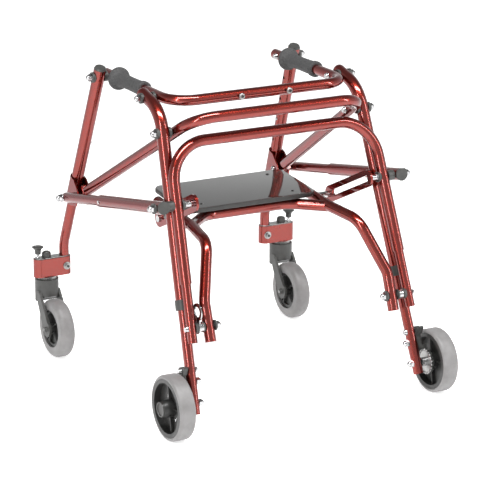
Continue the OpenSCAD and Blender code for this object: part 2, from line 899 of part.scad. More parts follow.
// Channel round the leg, with its web in front and its cheeks behind
module leg_bracket() {
  color("firebrick")
    difference() {
      leg_frame(bracket_drop) {
        rear = -bracket_back - cheek_past;
        difference() {
          intersection() {
            rotate([quarter, 0, quarter])
              translate([0, 0, -bracket_w])
                linear_extrude(2 * bracket_w)
                  polygon([[rear, -bracket_rear_low], [-bracket_front, -bracket_low],
                           [bracket_w, -bracket_low], [bracket_w, bracket_high],
                           [-bracket_front, bracket_high], [rear, bracket_rear_high]]);
            translate([0, 0, -bracket_low - over])
              linear_extrude(bracket_low + bracket_high + 2 * over) {
                circle(d = bracket_w);
                translate([-bracket_w / 2, rear - over]) square([bracket_w, over - rear]);
              }
          }
          translate([0, 0, -bracket_low - 2 * over])
            linear_extrude(bracket_low + bracket_high + 4 * over) {
              circle(d = cheek_gap);
              translate([-cheek_gap / 2, rear - 2 * over]) square([cheek_gap, 2 * over - rear]);
            }
        }
      }
      x_pin(bracket_pivot, bracket_pivot.x - bracket_w, bracket_pivot.x + bracket_w, bolt_d);
    }
}

module leg_bracket_left() {
  on_left() leg_bracket();
}

module leg_bracket_right() {
  on_right() leg_bracket();
}

module leg_button() {
  color("silver") {
    leg_side(leg_button_drop, button_d, inner_d / 2 + run_gap + button_travel + rest_gap,
             tube_d / 2 + button_out);
  }
}

module leg_button_left() {
  on_left() leg_button();
}

module leg_button_right() {
  on_right() leg_button();
}

module caster_bolt_hole(d) {
  translate([foot_point.x, foot_point.y + caster_bracket_w, caster_bolt_z])
    rotate([quarter, 0, 0]) cylinder(d = d, h = 2 * caster_bracket_w);
}

module lower_leg() {
  color("crimson")
    difference() {
      bent_tube([lower_leg_top, foot_point, foot_end], foot_bend_r, inner_d, inner_wall, over, over);
      caster_bolt_hole(caster_screw_d);
    }
}

module lower_leg_left() {
  on_left() lower_leg();
}

module lower_leg_right() {
  on_right() lower_leg();
}

// Casters

module caster_bracket() {
  color("firebrick")
    difference() {
      translate([foot_point.x, foot_point.y, caster_bracket_z])
        linear_extrude(caster_bracket_h)
          difference() {
            union() {
              circle(d = caster_bracket_w);
              translate([strap_end, 0]) circle(d = caster_bracket_w);
              translate([0, -caster_bracket_w / 2]) square([strap_end, caster_bracket_w]);
            }
            circle(d = inner_d);
            translate([caster_offset, 0]) circle(d = stem_d + 2 * run_gap);
            translate([caster_offset + lock_offset, 0]) circle(d = lock_pin_d + 2 * run_gap);
          }
      caster_bolt_hole(caster_screw_d);
    }
}

module caster_bracket_left() {
  on_left() caster_bracket();
}

module caster_bracket_right() {
  on_right() caster_bracket();
}

// Outline of a toothed wheel
function tooth_points(teeth, r, depth, lean_share) =
  [for (i = [0 : teeth - 1], k = [0, 1])
    let (turn = full * (i + k * lean_share) / teeth, at = k == 0 ? r : r - depth)
    [at * cos(turn), at * sin(turn)]];

module caster_bolt() {
  color("silver") {
    face = caster_bracket_w / 2;
    translate([foot_point.x, foot_point.y, caster_bolt_z])
      rotate([quarter, 0, 0]) {
        translate([0, 0, -face]) cylinder(d = caster_screw_d, h = 2 * face);
        translate([0, 0, face]) cylinder(d = washer_d, h = caster_washer_t);
        translate([0, 0, face + caster_washer_t]) cylinder(d = caster_head_d, h = caster_head_t);
        translate([0, 0, -face - caster_head_t]) cylinder(d = caster_head_d, h = caster_head_t);
      }
    translate([swivel.x, swivel.y, caster_bracket_z - detent_t])
      linear_extrude(detent_t)
        difference() {
          polygon(tooth_points(detent_teeth, detent_d / 2, detent_depth, tooth_share));
          circle(d = stem_d + 2 * face_gap);
        }
  }
}

module caster_bolt_left() {
  on_left() caster_bolt();
}

module caster_bolt_right() {
  on_right() caster_bolt();
}

module fork_blade() {
  boss = axle_boss_d / 2;
  top = fork_top - fork_head_h / 2 - caster_d / 2;
  rotate([quarter, 0, quarter])
    linear_extrude(fork_t) {
      circle(d = axle_boss_d);
      polygon([[-boss, 0], [caster_trail - fork_head_d / 2 * blade_top_share, top],
               [caster_trail + blade_front, top],
               [caster_trail * blade_mid_share, top / 2],
               [boss * cap_share, -boss / 2]]);
    }
}

module caster_fork() {
  color("dimgray") {
    difference() {
      union() {
        translate([swivel.x, swivel.y, fork_top - fork_head_h]) cylinder(d = fork_head_d, h = fork_head_h);
        translate([swivel.x, swivel.y, fork_top - over])
          cylinder(d = stem_d, h = caster_bracket_h + detent_t + 2 * face_gap + over);
        translate([swivel.x, swivel.y, caster_bracket_z + caster_bracket_h + face_gap])
          cylinder(d1 = swivel_cap_d, d2 = swivel_cap_d * cap_share, h = swivel_cap_h);
        for (x = [-fork_head_d / 2, fork_head_d / 2 - fork_t])
          translate([swivel.x + x, caster_axle_point.y, caster_axle_point.z]) fork_blade();
      }
      translate([swivel.x, caster_axle_point.y, caster_axle_point.z])
        rotate([0, quarter, 0])
          cylinder(r = caster_d / 2 + tyre_room, h = fork_head_d - 2 * fork_t, center = true);
      x_pin(caster_axle_point, swivel.x - fork_head_d, swivel.x + fork_head_d, caster_axle_d);
    }
    x_pin(caster_axle_point, swivel.x - fork_head_d / 2, swivel.x + fork_head_d / 2, caster_axle_d);
    bolt_head(caster_axle_point, swivel.x + fork_head_d / 2, 1);
    bolt_head(caster_axle_point, swivel.x - fork_head_d / 2, -1);
  }
}

module caster_fork_left() {
  on_left() caster_fork();
}

module caster_fork_right() {
  on_right() caster_fork();
}

module caster_hub() {
  color("dimgray")
    translate(caster_axle_point)
      rotate([0, quarter, 0])
        difference() {
          rim_r = caster_d / 2 * caster_rim_share;
          boss_l = fork_head_d - 2 * fork_t - 2 * face_gap;
          union() {
            cylinder(r = rim_r, h = caster_hub_w, center = true);
            cylinder(d = caster_boss_d, h = boss_l, center = true);
          }
          for (z = [-1, 1])
            translate([0, 0, z * caster_hub_w / 2])
              difference() {
                cylinder(r = rim_r - hub_rim_w, h = 2 * hub_dish, center = true);
                cylinder(d = caster_boss_d, h = 2 * hub_dish + over, center = true);
              }
          cylinder(d = caster_axle_d + 2 * run_gap, h = fork_head_d, center = true);
        }
}

module caster_hub_left() {
  on_left() caster_hub();
}

module caster_hub_right() {
  on_right() caster_hub();
}

module caster_tyre() {
  color("gray")
    translate(caster_axle_point)
      rotate([0, quarter, 0])
        soft_ring(caster_d / 2, caster_d / 2 * caster_rim_share + tyre_fit, caster_w, caster_edge_r);
}

module caster_tyre_left() {
  on_left() caster_tyre();
}

module caster_tyre_right() {
  on_right() caster_tyre();
}

// Plunger that locks the caster's swivel
module lock_knob() {
  color("dimgray")
    translate([swivel.x + lock_offset, swivel.y, caster_bracket_z + caster_bracket_h]) {
      translate([0, 0, -knob_reach]) cylinder(d = lock_pin_d, h = knob_reach + knob_stem_h + over);
      translate([0, 0, knob_stem_h]) cylinder(d = knob_neck_d, h = knob_neck_h);
      translate([0, 0, knob_stem_h + knob_neck_h])
        cylinder(d1 = knob_d, d2 = knob_d * cap_share, h = knob_flange_t);
    }
}

module lock_knob_left() {
  on_left() lock_knob();
}

module lock_knob_right() {
  on_right() lock_knob();
}

// Side bars

module side_bar() {
  color("crimson")
    difference() {
      rod(side_tail_end, side_rear + side_bar_l * side_dir, tube_d);
      rod(side_tail_end - over * side_dir, side_rear + (side_bar_l + over) * side_dir,
          tube_d - 2 * tube_wall);
      x_pin(side_rear, side_x - tube_d, side_x + tube_d, bolt_hole_d);
      x_pin(side_rear + side_button_at * side_dir, side_x, side_x + tube_d, button_d + 2 * run_gap);
    }
}

module side_bar_left() {
  on_left() side_bar();
}

module side_bar_right() {
  on_right() side_bar();
}

module side_cap() {
  color("dimgray") {
    rod(side_tail_end - side_cap_t * side_dir, side_tail_end, tube_d);
    rod(side_tail_end - side_cap_t / 2 * side_dir, side_tail_end + side_plug_l * side_dir,
        tube_d - 2 * tube_wall);
  }
}

module side_cap_left() {
  on_left() side_cap();
}

module side_cap_right() {
  on_right() side_cap();
}

module side_button() {
  color("silver")
    x_pin(side_rear + side_button_at * side_dir, side_x + inner_d / 2 + run_gap + button_travel + rest_gap,
          side_x + tube_d / 2 + button_out, button_d);
}

module side_button_left() {
  on_left() side_button();
}

module side_button_right() {
  on_right() side_button();
}

module side_rod() {
  color("crimson")
    difference() {
      union() {
        rod(side_rod_start, side_front, inner_d);
        dome_end(side_front, side_dir, inner_d - 2 * seam_step);
      }
      rod(side_rod_start - over * side_dir, side_front - inner_d * side_dir, inner_d - 2 * inner_wall);
      x_pin(side_front, side_x - tube_d, side_x + tube_d, bolt_d);
    }
}

module side_rod_left() {
  on_left() side_rod();
}

module side_rod_right() {
  on_right() side_rod();
}

module rod_nut() {
  color("silver") {
    rod_in = bracket_pivot.x + bracket_w / 2 + rod_gap;
    rod_out = side_x + inner_d / 2;
    x_pin(side_front, rod_in, rod_out, bolt_d);
    x_pin(side_front, rod_in, side_x - inner_d / 2, washer_d);
    x_pin(side_front, rod_out, rod_out + washer_t, washer_d);
    dome_nut(side_front, rod_out + washer_t, 1);
  }
}

module rod_nut_left() {
  on_left() rod_nut();
}

module rod_nut_right() {
  on_right() rod_nut();
}

// Rear wheels

module wheel_leg() {
  color("crimson")
    difference() {
      rod(wheel_leg_end, wheel_leg_top, inner_d);
      rod(wheel_leg_end + inner_wall * up_dir, wheel_leg_top + over * up_dir,
          inner_d - 2 * inner_wall);
      x_pin(axle_point, axle_point.x - tube_d, axle_point.x + tube_d, rear_axle_d);
      x_pin(pawl_point, pawl_point.x - tube_d, pawl_point.x + tube_d, screw_d);
      x_pin(stop_point, stop_point.x - tube_d, stop_point.x + tube_d, screw_d);
    }
}

module wheel_leg_left() {
  on_left() wheel_leg();
}

module wheel_leg_right() {
  on_right() wheel_leg();
}

module rear_axle() {
  color("silver") {
    axle_in = axle_point.x - inner_d / 2 + nut_seat;
    stop_in = stop_point.x - inner_d / 2 + nut_seat;
    pawl_in = pawl_point.x - inner_d / 2 + nut_seat;
    pawl_out = pawl_in_x + pawl_t + face_gap;
    difference() {
      union() {
        x_pin(axle_point, axle_point.x, ratchet_in_x - face_gap, axle_sleeve_d);
        dome_nut(axle_point, axle_in, -1);
        dome_nut(stop_point, stop_in, -1);
        bolt_head(pawl_point, pawl_in, -1);
      }
      rod(wheel_leg_end, wheel_leg_top, inner_d);
    }
    x_pin(axle_point, axle_in - 2 * nut_seat, wheel_in_x + wheel_w, rear_axle_d);
    x_pin(stop_point, stop_in - 2 * nut_seat, stop_point.x + inner_d / 2 - nut_seat, screw_d);
    x_pin(pawl_point, pawl_in - 2 * nut_seat, pawl_out, screw_d);
    bolt_head(pawl_point, pawl_out, 1);
  }
}

module rear_axle_left() {
  on_left() rear_axle();
}

module rear_axle_right() {
  on_right() rear_axle();
}

module rear_hub() {
  rim_r = wheel_d / 2 * wheel_rim_share;
  color("dimgray")
    translate([wheel_mid_x, axle_point.y, axle_point.z])
      rotate([0, quarter, 0])
        difference() {
          union() {
            difference() {
              cylinder(r = rim_r, h = wheel_w, center = true);
              cylinder(r = rim_r - rim_wall, h = wheel_w + over, center = true);
            }
            cylinder(r = rim_r, h = wheel_web_t, center = true);
            cylinder(d = wheel_boss_d, h = wheel_w, center = true);
            translate([0, 0, wheel_w / 2])
              cylinder(d1 = wheel_boss_d, d2 = wheel_boss_d * cap_share, h = hub_cap_out);
          }
          translate([0, 0, -wheel_w / 2 - over])
            cylinder(d = rear_axle_d + 2 * run_gap, h = wheel_w + face_gap + over);
        }
}

module rear_hub_left() {
  on_left() rear_hub();
}

module rear_hub_right() {
  on_right() rear_hub();
}

module rear_tyre() {
  color("gray")
    translate([wheel_mid_x, axle_point.y, axle_point.z])
      rotate([0, quarter, 0])
        soft_ring(wheel_d / 2, wheel_d / 2 * wheel_rim_share + tyre_fit, wheel_w, rear_edge_r);
}

module rear_tyre_left() {
  on_left() rear_tyre();
}

module rear_tyre_right() {
  on_right() rear_tyre();
}

module ratchet() {
  color("darkgray")
    translate([ratchet_in_x, axle_point.y, axle_point.z])
      rotate([0, quarter, 0])
        linear_extrude(ratchet_t)
          difference() {
            polygon(tooth_points(ratchet_teeth, ratchet_d / 2, ratchet_depth, ratchet_share));
            circle(d = rear_axle_d + 2 * run_gap);
          }
}

module ratchet_left() {
  on_left() ratchet();
}

module ratchet_right() {
  on_right() ratchet();
}

// Lever that drops onto the ratchet, with a tab for the hand
module pawl() {
  color("dimgray")
    difference() {
      translate([pawl_in_x, pawl_point.y, pawl_point.z])
        rotate([rear_lean, 0, 0]) mirror([0, 1, 0]) {
          rotate([0, quarter, 0]) cylinder(d = pawl_hub_d, h = pawl_t);
          rotate([2 * rear_lean, 0, 0]) {
            translate([0, -pawl_tip_w / 2, -pawl_reach]) cube([pawl_t, pawl_tip_w, pawl_reach]);
            translate([0, -pawl_tip_w / 2, -pawl_reach]) cube([pawl_w, pawl_tip_w, pawl_tip_h]);
          }
          translate([0, nut_d / 2 + pass_gap, 0]) cube([pawl_tab_w, pawl_tab_t, pawl_tab_l]);
        }
      x_pin(pawl_point, pawl_in_x - over, pawl_in_x + pawl_t + over, screw_d + 2 * run_gap);
    }
}

module pawl_left() {
  on_left() pawl();
}

module pawl_right() {
  on_right() pawl();
}

// Seat

module seat_frame() {
  color("crimson") placed()
    difference() {
      union() {
        bent_tube(seat_path, seat_bend_r, seat_tube_d, seat_wall, -seat_wall, -seat_wall);
        mirror([1, 0, 0])
          bent_tube(seat_path, seat_bend_r, seat_tube_d, seat_wall, -seat_wall, -seat_wall);
        bent_tube(cross_path, cross_bend_r, seat_tube_d, seat_wall, 0, 0);
      }
      for (x = [-1, 1]) {
        x_pin(seat_pivot, x * seat_leg_x - seat_tube_d, x * seat_leg_x + seat_tube_d, bolt_hole_d);
        x_pin(link_pin, x * rail_x, x * (rail_x + seat_tube_d), bolt_d);
      }
    }
}

module seat_place() {
  placed()
    translate([0, seat_mid.y, seat_mid.z])
      rotate([rail_slope, 0, 0])
        translate([0, 0, seat_lift])
          children();
}

module seat_screw_spots() {
  for (x = [-1, 1], y = [-1, 1])
    translate([x * seat_w / 2 * seat_screw_share, y * seat_l / 2 * seat_screw_share, 0]) children();
}

module seat_plate() {
  color("black") seat_place()
    difference() {
      rounded_slab(seat_w, seat_l, seat_t, seat_edge_r);
      seat_screw_spots() {
        translate([0, 0, -over]) cylinder(d = seat_screw_d, h = seat_t + 2 * over);
        translate([0, 0, seat_t - seat_screw_head_t]) cylinder(d = seat_screw_head_d, h = seat_t);
      }
    }
}

module seat_fittings() {
  color("silver") {
    seat_place()
      seat_screw_spots() {
        cylinder(d = seat_screw_d, h = seat_t);
        translate([0, 0, seat_t - seat_screw_head_t]) cylinder(d = seat_screw_head_d, h = seat_screw_head_t);
      }
    on_both() {
      link_in = link_x - link_t / 2 - face_gap;
      link_out = link_x + link_t / 2 + face_gap;
      x_pin(link_pin, rail_x + seat_tube_d / 2 - seat_wall, link_out, bolt_d);
      x_pin(link_pin, rail_x + seat_tube_d / 2, link_in, pin_sleeve_d);
      x_pin(link_pin, link_out, link_out + pin_head_t, pin_head_d);
    }
  }
}

// Plate with a long slot, from the rail's pin back past the side bar's bolt
module seat_link() {
  color("firebrick")
    translate([link_x - link_t / 2, link_pin.y, link_pin.z])
      rotate([link_turn, 0, 0])
        rotate([quarter, 0, quarter])
          linear_extrude(link_t)
            difference() {
              union() {
                circle(d = link_h);
                translate([link_span, 0]) circle(d = link_h);
                translate([0, -link_h / 2]) square([link_span, link_h]);
              }
              circle(d = bolt_hole_d);
              translate([slot_front, 0]) circle(d = link_slot);
              translate([link_span, 0]) circle(d = link_slot);
              translate([slot_front, -link_slot / 2]) square([link_span - slot_front, link_slot]);
            }
}

module seat_link_left() {
  on_left() seat_link();
}

module seat_link_right() {
  on_right() seat_link();
}

upright_left();
upright_right();
lower_bar();
seat_posts();
frame_bushings();
pivot_bolts();
handle_bar();
grips();
handle_fasteners();
middle_bar();
front_leg_left();
front_leg_right();
leg_cap_left();
leg_cap_right();
leg_bracket_left();
leg_bracket_right();
leg_button_left();
leg_button_right();
lower_leg_left();
lower_leg_right();
caster_bracket_left();
caster_bracket_right();
caster_bolt_left();
caster_bolt_right();
caster_fork_left();
caster_fork_right();
caster_hub_left();
caster_hub_right();
caster_tyre_left();
caster_tyre_right();
lock_knob_left();
lock_knob_right();
side_bar_left();
side_bar_right();
side_cap_left();
side_cap_right();
side_button_left();
side_button_right();
side_rod_left();
side_rod_right();
rod_nut_left();
rod_nut_right();
wheel_leg_left();
wheel_leg_right();
rear_axle_left();
rear_axle_right();
rear_hub_left();
rear_hub_right();
rear_tyre_left();
rear_tyre_right();
ratchet_left();
ratchet_right();
pawl_left();
pawl_right();
seat_frame();
seat_plate();
seat_fittings();
seat_link_left();
seat_link_right();
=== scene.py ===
"""Looks of a posterior walker: finishes for its solids, pieces modelled one by one, light and camera."""

import json
import math

import bpy
from mathutils import Matrix, Vector


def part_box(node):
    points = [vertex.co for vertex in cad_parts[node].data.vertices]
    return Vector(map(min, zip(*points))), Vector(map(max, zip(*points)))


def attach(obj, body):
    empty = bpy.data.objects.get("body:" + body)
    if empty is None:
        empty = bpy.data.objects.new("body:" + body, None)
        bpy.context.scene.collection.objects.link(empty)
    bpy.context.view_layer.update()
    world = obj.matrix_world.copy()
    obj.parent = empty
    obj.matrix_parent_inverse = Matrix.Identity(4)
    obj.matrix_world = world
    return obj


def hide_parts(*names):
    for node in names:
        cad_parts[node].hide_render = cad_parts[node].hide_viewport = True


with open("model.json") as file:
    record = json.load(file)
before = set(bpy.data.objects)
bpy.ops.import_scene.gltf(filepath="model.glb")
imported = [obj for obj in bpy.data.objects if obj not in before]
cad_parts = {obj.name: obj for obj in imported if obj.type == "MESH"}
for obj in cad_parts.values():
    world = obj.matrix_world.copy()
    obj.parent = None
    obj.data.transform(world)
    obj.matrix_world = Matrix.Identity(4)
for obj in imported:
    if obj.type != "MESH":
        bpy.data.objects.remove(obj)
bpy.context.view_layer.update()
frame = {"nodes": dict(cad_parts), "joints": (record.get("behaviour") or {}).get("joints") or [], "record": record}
nodes = frame["nodes"]
SIDES = {"left": -1, "right": 1}
MM = 0.001


# Finishes

def start_finish(name):
    """A new material with one principled shader; returns the material, its nodes' tree and the shader."""
    finish = bpy.data.materials.new(name)
    finish.use_nodes = True
    tree = finish.node_tree
    return finish, tree, tree.nodes["Principled BSDF"]


def add_node(tree, kind, inputs=None, **settings):
    """One shader node with its settings; inputs are values, or sockets to link from."""
    node = tree.nodes.new(kind)
    for key, value in settings.items():
        setattr(node, key, value)
    for key, value in (inputs or {}).items():
        if isinstance(value, bpy.types.NodeSocket):
            tree.links.new(value, node.inputs[key])
        else:
            node.inputs[key].default_value = value
    return node


def place_socket(tree):
    """Coordinates in the part's own frame, in metres."""
    return add_node(tree, "ShaderNodeTexCoord").outputs["Object"]


def noise(tree, place, scale, detail=3.0, roughness=0.55):
    """Soft grain; scale is how many grains lie on a metre."""
    return add_node(tree, "ShaderNodeTexNoise", {
        "Vector": place, "Scale": scale, "Detail": detail, "Roughness": roughness}).outputs["Fac"]


def cells(tree, place, scale):
    """Pores; scale is how many lie on a metre."""
    return add_node(tree, "ShaderNodeTexVoronoi", {"Vector": place, "Scale": scale}).outputs["Distance"]


def ranged(tree, value, low, high, from_low=0.3, from_high=0.7):
    """Spreads a grain's middle values over a range."""
    return add_node(tree, "ShaderNodeMapRange", {
        "Value": value, "From Min": from_low, "From Max": from_high,
        "To Min": low, "To Max": high}).outputs["Result"]


def tinted(tree, value, dark, light, low=0.35, high=0.65):
    """A colour between two, by a grain."""
    ramp = add_node(tree, "ShaderNodeValToRGB", {"Fac": value})
    ramp.color_ramp.elements[0].position = low
    ramp.color_ramp.elements[0].color = (*dark, 1)
    ramp.color_ramp.elements[1].position = high
    ramp.color_ramp.elements[1].color = (*light, 1)
    return ramp.outputs["Color"]


def bumped(tree, shader, height, strength, depth):
    """Relief of a grain; depth is its real height in metres."""
    bump = add_node(tree, "ShaderNodeBump", {"Height": height, "Strength": strength, "Distance": depth})
    tree.links.new(bump.outputs["Normal"], shader.inputs["Normal"])


def candy_red():
    """Clear lacquer over red metallic paint with a fine flake."""
    finish, tree, shader = start_finish("candy_red")
    place = place_socket(tree)
    flake = noise(tree, place, 3200, detail=2)
    cloud = noise(tree, place, 14)
    colour = tinted(tree, flake, (0.190, 0.0175, 0.0105), (0.222, 0.0210, 0.0128))
    tree.links.new(colour, shader.inputs["Base Color"])
    tree.links.new(ranged(tree, cloud, 0.22, 0.28), shader.inputs["Roughness"])
    shader.inputs["Metallic"].default_value = 0.95
    shader.inputs["Specular Tint"].default_value = (0.30, 0.07, 0.05, 1)
    shader.inputs["Coat Weight"].default_value = 1.0
    shader.inputs["Coat IOR"].default_value = 1.5
    shader.inputs["Coat Roughness"].default_value = 0.05
    return finish


def moulded_black(name, dark, light, roughness):
    """Black moulded plastic with a fine spark-eroded grain."""
    finish, tree, shader = start_finish(name)
    place = place_socket(tree)
    grain = noise(tree, place, 1500)
    tree.links.new(tinted(tree, noise(tree, place, 60), dark, light), shader.inputs["Base Color"])
    tree.links.new(ranged(tree, grain, roughness - 0.06, roughness + 0.08), shader.inputs["Roughness"])
    bumped(tree, shader, grain, 0.15, 0.0001)
    return finish


def grip_rubber():
    """Matt black rubber with fine pores."""
    finish, tree, shader = start_finish("grip_rubber")
    place = place_socket(tree)
    pores = cells(tree, place, 900)
    colour = tinted(tree, noise(tree, place, 300), (0.028, 0.028, 0.029), (0.05, 0.05, 0.05))
    tree.links.new(colour, shader.inputs["Base Color"])
    tree.links.new(ranged(tree, pores, 0.62, 0.8, 0, 0.6), shader.inputs["Roughness"])
    bumped(tree, shader, pores, 0.25, 0.0002)
    return finish


def grey_rubber():
    """Solid grey tyre rubber, a little dusty."""
    finish, tree, shader = start_finish("tyre_grey")
    place = place_socket(tree)
    dust = noise(tree, place, 45, detail=5)
    colour = tinted(tree, dust, (0.148, 0.143, 0.142), (0.192, 0.187, 0.186))
    tree.links.new(colour, shader.inputs["Base Color"])
    tree.links.new(ranged(tree, dust, 0.36, 0.5), shader.inputs["Roughness"])
    bumped(tree, shader, noise(tree, place, 1100), 0.12, 0.0001)
    return finish


def polished_chrome():
    """Bright plating with hairline scuffs."""
    finish, tree, shader = start_finish("polished_chrome")
    place = place_socket(tree)
    scuff = noise(tree, place, 700, detail=5)
    colour = tinted(tree, scuff, (0.36, 0.36, 0.37), (0.52, 0.52, 0.52))
    tree.links.new(colour, shader.inputs["Base Color"])
    tree.links.new(ranged(tree, scuff, 0.08, 0.2), shader.inputs["Roughness"])
    shader.inputs["Metallic"].default_value = 1.0
    return finish


def zinc_plate():
    """Dull zinc with a blotchy bloom."""
    finish, tree, shader = start_finish("zinc_plate")
    place = place_socket(tree)
    bloom = noise(tree, place, 120, detail=6)
    colour = tinted(tree, bloom, (0.24, 0.24, 0.24), (0.40, 0.40, 0.39))
    tree.links.new(colour, shader.inputs["Base Color"])
    tree.links.new(ranged(tree, bloom, 0.26, 0.42), shader.inputs["Roughness"])
    bumped(tree, shader, noise(tree, place, 900), 0.1, 0.00008)
    shader.inputs["Metallic"].default_value = 1.0
    return finish


def seat_gloss():
    """Black sheet with a mirror gloss and faint rub marks."""
    finish, tree, shader = start_finish("seat_gloss")
    place = place_socket(tree)
    rub = noise(tree, place, 35, detail=6)
    colour = tinted(tree, rub, (0.010, 0.011, 0.010), (0.016, 0.017, 0.016))
    tree.links.new(colour, shader.inputs["Base Color"])
    tree.links.new(ranged(tree, rub, 0.03, 0.07), shader.inputs["Roughness"])
    shader.inputs["IOR"].default_value = 2.5
    shader.inputs["Specular IOR Level"].default_value = 1.0
    return finish


FINISHES = {
    "red_paint": candy_red(),
    "black_plastic": moulded_black("black_plastic", (0.030, 0.030, 0.028), (0.042, 0.042, 0.040), 0.42),
    "hub_black": moulded_black("hub_black", (0.014, 0.014, 0.013), (0.022, 0.022, 0.021), 0.40),
    "grip_rubber": grip_rubber(),
    "chrome": polished_chrome(),
    "zinc": zinc_plate(),
    "seat_black": seat_gloss(),
    "tyre_grey": grey_rubber(),
}


def dress(piece, slot):
    """Gives a piece the finish of one slot of the record."""
    piece.data.materials.clear()
    piece.data.materials.append(FINISHES[slot])


# The solids keep their meshes; welding on the fly lets round faces shade smoothly
EDGE_ANGLE = math.radians(32)
WELD_GAP = 0.002 * MM
for subpart in frame["record"]["subparts"]:
    solid = nodes[subpart["node"]]
    dress(solid, subpart["material_slot"])
    solid.data.polygons.foreach_set("use_smooth", [True] * len(solid.data.polygons))
    weld = solid.modifiers.new("weld", "WELD")
    weld.merge_threshold = WELD_GAP
    split = solid.modifiers.new("sharp_edges", "EDGE_SPLIT")
    split.split_angle = EDGE_ANGLE


# Modelling tools

MERGE_GAP = 0.001 * MM


def deselect():
    """Leaves nothing selected, so that an operator acts on the new piece alone."""
    bpy.ops.object.select_all(action="DESELECT")


def activate(piece):
    """Selects one piece alone."""
    deselect()
    piece.select_set(True)
    bpy.context.view_layer.objects.active = piece


def arc(centre, radius, start, end, steps=5):
    """Points (radius, height) on a round edge of a turned outline; angles in degrees."""
    angles = [math.radians(start + (end - start) * step / steps) for step in range(steps + 1)]
    return [(centre[0] + radius * math.cos(a), centre[1] + radius * math.sin(a)) for a in angles]


def extrude_rings(rings):
    """Draws the selected loop out ring by ring to (radius, height) pairs about Z."""
    radius, height = rings[0]
    for next_radius, next_height in rings[1:]:
        bpy.ops.mesh.extrude_region_move(TRANSFORM_OT_translate={"value": (0, 0, next_height - height)})
        share = next_radius / radius
        bpy.ops.transform.resize(value=(share, share, 1))
        radius, height = next_radius, next_height


def turned(name, rings, sides=48, hollow=False):
    """A turned piece about Z: a disc, or for a sleeve a loop, drawn out ring by ring."""
    deselect()
    fill = "NOTHING" if hollow else "NGON"
    bpy.ops.mesh.primitive_circle_add(vertices=sides, radius=rings[0][0], fill_type=fill,
                                      location=(0, 0, rings[0][1]))
    piece = bpy.context.object
    piece.name = name
    bpy.ops.object.transform_apply(location=True, rotation=True, scale=True)
    bpy.ops.object.mode_set(mode="EDIT")
    bpy.ops.mesh.select_all(action="SELECT")
    extrude_rings([*rings, rings[0]] if hollow else rings)
    bpy.ops.mesh.select_all(action="SELECT")
    bpy.ops.mesh.remove_doubles(threshold=MERGE_GAP)
    bpy.ops.mesh.normals_make_consistent(inside=False)
    bpy.ops.object.mode_set(mode="OBJECT")
    return piece


def scaled(outline, radius, height):
    """An outline in shares of a radius and a height, as (radius, height) pairs in metres."""
    return [(across * radius, up * height) for across, up in outline]


BUTTON_OUTLINE = ((1, 0), (1, 0.22), (0.92, 0.42), (0.74, 0.56), (0.5, 0.62), (0.45, 0.3))


def domed_head(name, radius):
    """A low button head with a shallow drive recess."""
    return turned(name, scaled(BUTTON_OUTLINE, radius, radius), sides=32)


def slab(name, size):
    """A block about the origin, ready for bevels."""
    deselect()
    bpy.ops.mesh.primitive_cube_add(size=1)
    piece = bpy.context.object
    piece.name = name
    piece.scale = size
    bpy.ops.object.transform_apply(location=True, rotation=True, scale=True)
    return piece


def bevel_edges(piece, wanted, width, segments):
    """Rounds the edges for which wanted(start, end) is true."""
    activate(piece)
    bpy.ops.object.mode_set(mode="EDIT")
    bpy.ops.mesh.select_mode(type="EDGE")
    bpy.ops.mesh.select_all(action="DESELECT")
    bpy.ops.object.mode_set(mode="OBJECT")
    points = piece.data.vertices
    for edge in piece.data.edges:
        edge.select = wanted(points[edge.vertices[0]].co, points[edge.vertices[1]].co)
    bpy.ops.object.mode_set(mode="EDIT")
    bpy.ops.mesh.bevel(offset=width, segments=segments, affect="EDGES")
    bpy.ops.object.mode_set(mode="OBJECT")


def set_down(piece, place, axis=(0, 0, 1), spin=0.0):
    """Turns a piece's Z to an axis, moves it to its place and settles both into its mesh."""
    turn = Vector(axis).to_track_quat("Z", "Y").to_matrix().to_4x4()
    piece.matrix_world = Matrix.Translation(place) @ turn @ Matrix.Rotation(spin, 4, "Z")
    activate(piece)
    bpy.ops.object.transform_apply(location=True, rotation=True, scale=True)
    bpy.ops.object.shade_smooth_by_angle(angle=EDGE_ANGLE)


def complete(piece, slot, body, stands_for=None):
    """Finish, slot and body of a piece, and the solid that it stands for."""
    dress(piece, slot)
    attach(piece, body)
    if stands_for:
        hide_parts(stands_for)


def joint_place(name):
    """Where a joint sits, from the frame."""
    return Vector(next(joint["pos_m"] for joint in frame["joints"] if joint["name"] == name))


def joint_axis(name):
    """Which way a joint points, from the frame."""
    return Vector(next(joint["axis"] for joint in frame["joints"] if joint["name"] == name))


def middle(node):
    """Middle of a solid's box."""
    low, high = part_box(node)
    return (low + high) / 2


# Grips

GRIP_BORE = 10.55 * MM
GRIP_BODY = 14 * MM
GRIP_WAIST = 13.4 * MM
GRIP_FLANGE = 22.9 * MM
GRIP_FLANGE_T = 13 * MM
GRIP_COLLAR = 16.2 * MM
GRIP_COLLAR_L = 11 * MM
GRIP_ROUND = 5.5 * MM
GRIP_SOFT = 2 * MM


